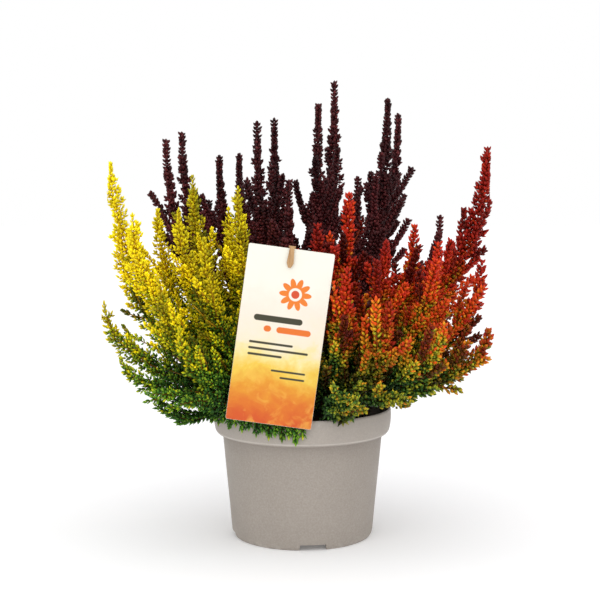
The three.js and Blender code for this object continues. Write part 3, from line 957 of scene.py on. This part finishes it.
def pot_paint():
    """Matt taupe plastic: fine flecks, cloudy tone, chalky scuffs and a worn bottom edge."""
    p = Paint("pot_plastic", 0.6, 0.35)
    x, y, z = p.split()
    base = p.ramp(p.noise(22, 3, 0.55), (0.3, 160, 151, 142), (0.7, 168, 159, 150))
    fleck = p.noise(900, 2, 0.6)
    speck = p.ramp(fleck, (0.3, 143, 134, 126), (0.5, 162, 153, 144), (0.72, 180, 172, 163))
    p.colour(p.mix(0.35, base, speck))
    # Chalky scratches in patches, drawn out upwards.
    scratch = p.noise(420, 3, 0.7, 1.2, p.stretched(1.0, 1.0, 0.35))
    scuff = p.times(p.span(scratch, 0.68, 0.74), p.span(p.noise(38), 0.55, 0.66))
    p.over(p.times(scuff, 0.7), 212, 207, 200)
    # The worn, slightly paler edge at the foot.
    wear = p.times(p.span(z, 0.0, 4.5 * MM, 1.0, 0.0), p.span(p.noise(160, 3, 0.6), 0.45, 0.6))
    p.over(p.times(wear, 0.6), 198, 191, 183)
    # A painted highlight: a thin light line along the rim's lower edge.
    outside = p.math("GREATER_THAN", p.reach(x, y), (BODY_TOP_RADIUS + 2.4) * MM)
    off = p.math("DIVIDE", p.minus(z, (RIM_FOOT + 2.0) * MM), 0.7 * MM)
    painted_highlight_line = p.math("MAXIMUM", p.minus(1.0, p.math("ABSOLUTE", off)), 0.0)
    painted_highlight_line = p.times(painted_highlight_line, p.span(p.noise(55), 0.3, 0.6, 0.45, 0.9))
    p.over(p.times(painted_highlight_line, outside), 206, 200, 192)
    # The rim is painted lighter than the body, as painted light.
    rim = p.span(z, RIM_FOOT * MM, (RIM_FOOT + 1.5) * MM, 0.0, 0.2)
    p.over(p.times(rim, outside), 212, 204, 196)
    # Painted shade: the band of the body under the rim's overhang is painted darker.
    painted_under_rim_shade = p.span(z, (RIM_FOOT - 11.6) * MM, (RIM_FOOT - 0.1) * MM, 0.0, 0.22)
    p.over(p.times(painted_under_rim_shade, p.minus(1.0, outside)), 112, 104, 96)
    p.rough(p.span(p.noise(60, 3), 0.3, 0.7, 0.52, 0.68))
    p.bump(p.math("ADD", fleck, p.times(scuff, 1.5)), 0.25, 0.00012)
    return p.material


pot = pot_body()
pot.data.materials.clear()
pot.data.materials.append(pot_paint())
adopt(pot, "pot")


# The soil


def inner_radius(height):
    """The soil's radius at a height, just clear of the pot's wall."""
    return body_radius(height) - WALL - 2 * CLEARANCE


def soil_waves(rng, count=26):
    """The gentle swell of the soil's top, as the height over a place."""
    waves = []
    for _ in range(count):
        pace = rng.uniform(0.12, 0.9, 2) * rng.choice([-1, 1], 2)
        waves.append((pace, rng.uniform(0, 6.3), rng.uniform(0.15, 0.5)))

    def top(x, y):
        height = sum(a * np.sin(k[0] * x + k[1] * y + phase) for k, phase, a in waves)
        return SOIL_TOP - 1.0 + np.clip(0.55 * height, -1.6, 0.95)

    return top


def soil_mesh(sides=96, crumbs=900):
    rng = np.random.default_rng(5)
    brim = inner_radius(68)
    profile = [
        (inner_radius(FLOOR_TOP) - 1.6, FLOOR_TOP + CLEARANCE),
        (inner_radius(FLOOR_TOP), FLOOR_TOP + 2), (inner_radius(36), 36), (brim - 0.2, 68),
        (brim + 0.8, SOIL_TOP - 3), (brim - 1.2, SOIL_TOP - 0.8),
    ]
    rings = profile + [(r, None) for r in np.linspace(brim - 4, 2.5, 22)]
    angles = 2 * np.pi * np.arange(sides) / sides
    top = soil_waves(rng)
    points = [[[0, 0, FLOOR_TOP + CLEARANCE]]]
    for radius, height in rings:
        x, y = radius * np.cos(angles), radius * np.sin(angles)
        z = np.full(sides, height) if height is not None else top(x, y)
        points.append(np.stack([x, y, z], axis=1))
    points.append([[0, 0, top(0.0, 0.0)]])
    points, faces = [np.concatenate(points)], [stack_triangles(sides, len(rings))]
    count = len(points[0])
    body, shape = template(5, [(0.2, 0.8), (0.75, 0.9)])
    spread = (brim - 3) * np.sqrt(rng.random(crumbs))
    turn = rng.uniform(0, 2 * np.pi, crumbs)
    x, y = spread * np.cos(turn), spread * np.sin(turn)
    size = rng.uniform(0.8, 3.0, crumbs)
    for i in range(crumbs):
        tumble = Matrix.Rotation(rng.uniform(0, 6.3), 3, Vector(rng.normal(size=3)).normalized())
        stretch = rng.uniform(0.6, 1.1, 3) * size[i]
        lump = (body - [0, 0, 0.5]) * [0.55, 0.55, 1.0] * stretch
        lump = lump * rng.uniform(0.82, 1.15, (len(body), 1)) @ np.array(tumble).T
        sunk = top(x[i], y[i]) + 0.12 * size[i]
        points.append(lump + [x[i], y[i], min(sunk, SOIL_TOP - 0.2)])
        faces.append(shape + count)
        count += len(body)
    points, faces = np.concatenate(points), np.concatenate(faces)
    return mesh_from("soil_fine", points * MM, faces, smooth=True)


def soil_paint():
    p = Paint("soil_peat", 0.95, 0.2)
    coarse, fine = p.noise(260, 4, 0.6), p.noise(1400, 2, 0.6)
    p.colour(p.ramp(coarse, (0.3, 26, 19, 15), (0.55, 48, 36, 28), (0.75, 78, 58, 42)))
    p.over(p.span(fine, 0.62, 0.7, 0.0, 0.5), 122, 96, 70)
    p.bump(p.math("ADD", coarse, p.times(fine, 0.5)), 0.7, 0.0008)
    return p.material


soil = soil_mesh()
soil.data.materials.append(soil_paint())
adopt(soil, "soil")


# The card and its stake


def card_outline(grow, steps=6):
    """Points counter-clockwise round the card with its round corners, grown by this much."""
    radius, right = CARD_CORNER + grow, CARD_WIDTH / 2 - CARD_CORNER
    top, low = -CARD_CORNER, CARD_CORNER - CARD_HEIGHT
    points = []
    for x, y, start in ((right, top, 0), (-right, top, 90), (-right, low, 180), (right, low, 270)):
        for k in range(steps + 1):
            angle = math.radians(start + 90 * k / steps)
            points.append((x + radius * math.cos(angle), y + radius * math.sin(angle)))
    return points


def card_mesh(bevel=0.12):
    """The card with a slim bevel, in its hanging place."""
    depth = CARD_THICKNESS / 2
    levels = [(-bevel, depth), (0, depth - bevel), (0, bevel - depth), (-bevel, -depth)]
    points = [(x, y, z) for grow, z in levels for x, y in card_outline(grow)]
    count = len(points) // len(levels)
    faces = []
    for a in range(0, 3 * count, count):
        for i in range(count):
            j = (i + 1) % count
            faces.append((a + i, a + count + i, a + count + j, a + j))
    kinds = [2] * len(faces) + [0, 1]
    faces += [tuple(range(count)), tuple(range(4 * count - 1, 3 * count - 1, -1))]
    card = mesh_from("label_card_fine", [CARD_PLACE @ Vector(p) * MM for p in points], faces)
    share = (np.array(points)[:, :2] + [CARD_WIDTH / 2, CARD_HEIGHT]) / CARD_HEIGHT
    order = np.array([loop.vertex_index for loop in card.data.loops])
    layer = card.data.uv_layers.new(name="print")
    layer.data.foreach_set("uv", share[order].astype(np.float32).ravel())
    card.data.polygons.foreach_set("material_index", kinds)
    card.data.update()
    return card


def card_place(p):
    """A place on the card in millimetres, across and up from its lower left corner."""
    x, y, _ = p.split()
    return p.times(x, CARD_HEIGHT), p.times(y, CARD_HEIGHT)


def bar(p, x, y, box, soft=0.35):
    """1 inside a box with round ends, in millimetres, 0 outside."""
    x0, x1, y0, y1 = box
    radius = (y1 - y0) / 2
    dx = p.minus(p.math("ABSOLUTE", p.minus(x, (x0 + x1) / 2)), (x1 - x0) / 2 - radius)
    far = p.reach(p.math("MAXIMUM", dx, 0.0), p.minus(y, (y0 + y1) / 2))
    return p.span(far, radius, radius - soft)


# Plain bars on the card's front: left, right, bottom and top.
DARK_BARS = [
    (9, 40, 64.0, 68.2), (8, 36, 49.6, 51.4), (8, 46, 45.8, 47.6), (8, 30, 42.0, 43.8),
    (24, 46, 33.2, 34.8), (30, 46, 29.2, 30.8),
]
WARM_BARS = [(24, 46, 57.6, 61.8), (16, 21, 57.6, 61.8)]
ROSETTE = (33.0, 83.0)
PETAL_PAIRS, PETAL_ROOT, PETAL_LENGTH = 5, 5.6, 4.6


def rosette(p, x, y):
    """Ten petals round a small disc."""
    dx, dy = p.minus(x, ROSETTE[0]), p.minus(y, ROSETTE[1])
    far = p.reach(dx, dy)
    wave = p.math("COSINE", p.times(p.math("ARCTAN2", dy, dx), PETAL_PAIRS))
    edge = p.math("MULTIPLY_ADD", p.math("ABSOLUTE", wave), PETAL_LENGTH, PETAL_ROOT)
    petals = p.times(p.span(p.minus(edge, far), -0.2, 0.2), p.span(far, 3.9, 4.3))
    p.over(petals, 240, 128, 32)
    p.over(p.span(far, 2.7, 2.4), 216, 76, 30)


def card_paint():
    """Cream card that turns orange towards its foot in soft wavy bands, with plain print."""
    p = Paint("card_print", 0.42, 0.5, "print")
    x, y = card_place(p)
    fine = p.noise(30, 4, 0.6, 0.4)
    level = p.math("ADD", y, p.math("MULTIPLY_ADD", p.noise(5.5, 4, 0.55, 0.6), 34.0, -17.0))
    level = p.math("ADD", level, p.math("MULTIPLY_ADD", fine, 9.0, -4.5))
    bands = p.ramp(
        p.math("DIVIDE", level, CARD_HEIGHT),
        (0.0, 214, 84, 8), (0.1, 224, 116, 14), (0.2, 233, 154, 30), (0.3, 243, 202, 72),
        (0.38, 248, 228, 150), (0.46, 248, 234, 206), (0.6, 248, 235, 219), (0.8, 247, 244, 231),
        (1.0, 246, 246, 234),
    )
    p.colour(bands)
    # Paler patches inside the coloured bands, as in a brushed wash.
    patch = p.times(p.span(p.noise(12, 3, 0.5, 1.0), 0.52, 0.7), p.span(y, 52, 30))
    p.over(p.times(patch, 0.45), 248, 196, 76)
    rosette(p, x, y)
    for boxes, ink in ((DARK_BARS, (58, 56, 34)), (WARM_BARS, (234, 116, 30))):
        for box in boxes:
            p.over(bar(p, x, y, box), *ink)
    p.rough(p.span(fine, 0.3, 0.7, 0.38, 0.48))
    return p.material


def card_back_paint():
    p = Paint("card_back", 0.55, 0.4, "print")
    x, y = card_place(p)
    fibre = p.noise(220, 3, 0.6)
    p.colour(p.ramp(fibre, (0.3, 246, 240, 228), (0.7, 252, 248, 240)))
    p.over(bar(p, x, y, (8, 50, 10, 18), 0.5), 248, 196, 104)
    for low, right in ((40.0, 50), (46.0, 40), (52.0, 50), (58.0, 40), (64.0, 50)):
        p.over(bar(p, x, y, (8, right, low, low + 1.1)), 120, 112, 96)
    p.bump(fibre, 0.1, 0.0001)
    return p.material


def card_edge_paint():
    p = Paint("card_edge", 0.7, 0.3)
    p.colour(p.ramp(p.noise(1200), (0.3, 232, 224, 208), (0.7, 250, 246, 236)))
    return p.material


card = card_mesh()
for paint in (card_paint(), card_back_paint(), card_edge_paint()):
    card.data.materials.append(paint)
adopt(card, "label_card")


def stake_paint():
    p = Paint("stake_fibre", 0.7, 0.3)
    grain = p.noise(160, 4, 0.6, at=p.stretched(9.0, 9.0, 0.5))
    p.colour(p.ramp(grain, (0.3, 160, 120, 80), (0.55, 196, 156, 110), (0.75, 212, 176, 130)))
    p.bump(grain, 0.3, 0.0002)
    return p.material


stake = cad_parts["label_stake"]
stake.data.materials.clear()
stake.data.materials.append(stake_paint())


# Floor, light and camera, in metres
FLOOR_HALF, FLOOR_GLOW = 6.0, 0.1
SKY_LIGHT, SKY_SEEN = 0.55, 1.0  # the sky's strength as a light, and as the camera sees it
LENS, SENSOR = 79.2, 36.0
CAMERA_PLACE, CAMERA_TARGET = (-0.0016, -0.883, 0.239), (-0.0016, 0, 0.159)


def white_floor():
    h = FLOOR_HALF
    floor = mesh_from("floor", [(-h, -h, 0), (h, -h, 0), (h, h, 0), (-h, h, 0)], [(0, 1, 2, 3)])
    p = Paint("floor_white", 0.9, 0.1)
    p.colour(linear(250, 250, 251))
    p.shader.inputs["Emission Color"].default_value = (1, 1, 1, 1)
    p.shader.inputs["Emission Strength"].default_value = FLOOR_GLOW
    floor.data.materials.append(p.material)


def sun_light(name, towards, spread, strength):
    data = bpy.data.lights.new(name, "SUN")
    data.angle = math.radians(spread)
    data.energy = strength
    link(name, data).rotation_euler = Vector(towards).to_track_quat("Z", "Y").to_euler()


def white_sky():
    """A white world that lights the object less than the camera sees it."""
    world = bpy.data.worlds.new("studio")
    world.use_nodes = True
    nodes, links = world.node_tree.nodes, world.node_tree.links
    sky = nodes["Background"]
    sky.inputs["Color"].default_value = (1, 1, 1, 1)
    strength = nodes.new("ShaderNodeMapRange")
    links.new(nodes.new("ShaderNodeLightPath").outputs["Is Camera Ray"], strength.inputs[0])
    strength.inputs[3].default_value = SKY_LIGHT
    strength.inputs[4].default_value = SKY_SEEN
    links.new(strength.outputs[0], sky.inputs["Strength"])
    return world


def photo_camera():
    """The photograph's camera, found from the pot's ellipses."""
    lens = bpy.data.cameras.new("camera")
    lens.lens = LENS
    lens.sensor_width = SENSOR
    camera = link("camera", lens)
    camera.location = CAMERA_PLACE
    aim = Vector(CAMERA_TARGET) - camera.location
    camera.rotation_euler = aim.to_track_quat("-Z", "Y").to_euler()
    return camera


white_floor()
scene = bpy.context.scene
scene.world = white_sky()
scene.view_settings.view_transform = "Standard"
sun_light("key", towards=(0.02, -0.22, 1.0), spread=100, strength=1.6)
sun_light("fill", towards=(-0.25, -1.0, 0.35), spread=70, strength=0.5)
scene.camera = photo_camera()
